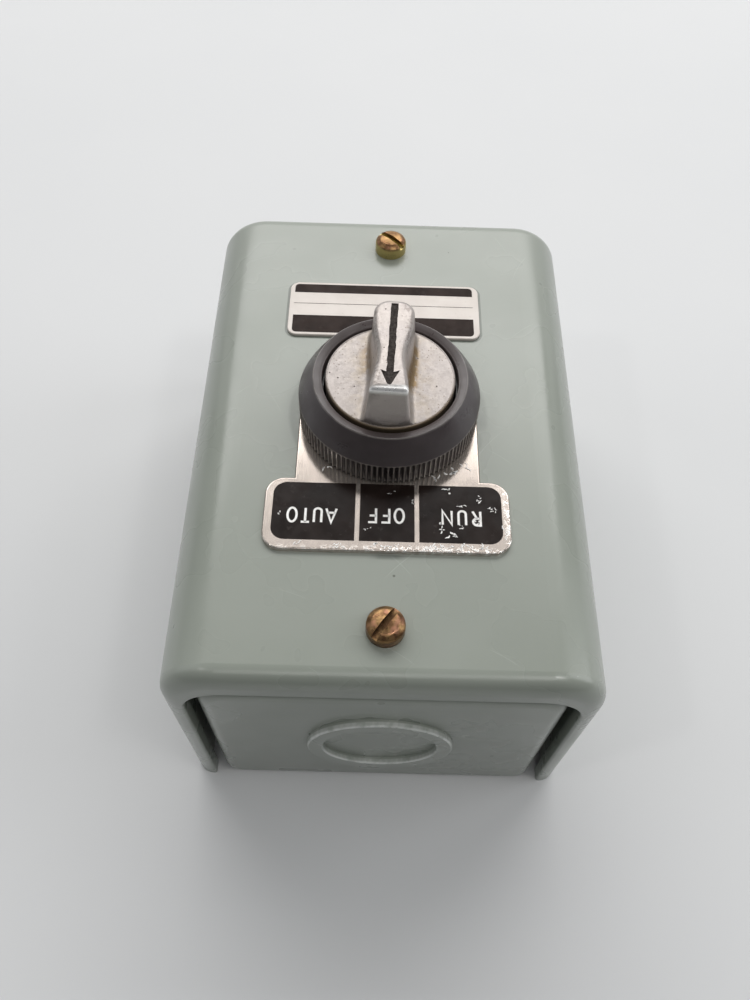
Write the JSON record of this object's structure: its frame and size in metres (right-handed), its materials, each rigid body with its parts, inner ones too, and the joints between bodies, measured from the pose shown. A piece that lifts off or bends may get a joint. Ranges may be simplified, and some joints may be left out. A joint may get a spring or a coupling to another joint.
{
  "type": "selector switch control station",
  "caption": "Three-position rotary selector switch with a fluted ring nut and lever knob in a small sheet-steel enclosure with conduit knockouts.",
  "frame": {"origin": "middle of the mounting face, on the back of the pan", "axes": "+Z out of the cover, away from the wall; -Y towards the conduit end that the pointer aims at in OFF, which is the top of the legend when read from the +Y side; +X across"},
  "size_m": [0.0794, 0.1168, 0.0799],
  "materials": {
    "enamel": "glossy light grey-green enamel",
    "green_screw": "green bonding screw",
    "screw_plate": "yellow plated, tarnished",
    "data_plate": "thin printed plate, plain bands",
    "legend_metal": "satin plate with a black printed field",
    "black_phenolic": "satin black moulding",
    "casting": "zinc die casting",
    "gasket_rubber": "matte black",
    "knob_metal": "satin die casting",
    "steel": "plated steel",
    "spring_steel": "bright spring steel",
    "nylon": "natural moulding",
    "brown_phenolic": "dark brown moulding",
    "brass_hardware": "satin",
    "contact_metal": "copper alloy with silver rivets"
  },
  "bodies": {
    "pan": {"base_pan": "enamel", "ground_screw": "green_screw"},
    "cover": {"front_cover": "enamel", "nameplate": "data_plate", "legend_plate": "legend_metal", "ring_nut": "black_phenolic", "operator_body": "casting", "panel_gasket": "gasket_rubber", "index_springs": "spring_steel", "contact_block": "brown_phenolic", "contact_block_plate": "brown_phenolic", "block_screws": "steel", "plate_screws": "steel", "terminal_screws": "brass_hardware", "fixed_contacts": "contact_metal", "terminal_clamps": "brass_hardware", "return_spring_left": "spring_steel", "return_spring_right": "spring_steel"},
    "far_screw": {"cover_screw_far": "screw_plate"},
    "near_screw": {"cover_screw_near": "screw_plate"},
    "selector": {"knob": "knob_metal", "knob_set_screw": "steel", "shaft": "steel", "shaft_seal": "gasket_rubber", "thrust_washer": "steel", "index_wheel": "steel", "cam": "nylon", "retaining_clip": "spring_steel"},
    "left_plunger": {"plunger_left": "nylon", "contact_bridge_left": "contact_metal"},
    "right_plunger": {"plunger_right": "nylon", "contact_bridge_right": "contact_metal"}
  },
  "joints": [
    {"name": "cover_lift", "type": "slide", "parent": "pan", "child": "cover", "axis": [0, 0, 1], "range_m": [0, 0.08]},
    {"name": "far_screw_turn", "type": "hinge", "parent": "cover", "child": "far_screw", "pos_m": [0, 0.0468, 0.0587], "axis": [0, 0, 1], "continuous": true},
    {"name": "near_screw_turn", "type": "hinge", "parent": "cover", "child": "near_screw", "pos_m": [0, -0.0468, 0.0587], "axis": [0, 0, 1], "continuous": true},
    {"name": "knob_turn", "type": "hinge", "parent": "cover", "child": "selector", "pos_m": [0, 0, 0.0587], "axis": [0, 0, 1], "range_deg": [-45, 45], "deforming": ["index_springs"]},
    {"name": "left_plunger_slide", "type": "slide", "parent": "cover", "child": "left_plunger", "axis": [0, 0, 1], "range_m": [-0.0016, 0.0016], "deforming": ["return_spring_left"]},
    {"name": "right_plunger_slide", "type": "slide", "parent": "cover", "child": "right_plunger", "axis": [0, 0, 1], "range_m": [-0.0016, 0.0016], "deforming": ["return_spring_right"]}
  ],
  "couplings": [
    {"joint": "left_plunger_slide", "follows": "knob_turn", "m_per_rad": 0.002037},
    {"joint": "right_plunger_slide", "follows": "knob_turn", "m_per_rad": -0.002037}
  ]
}
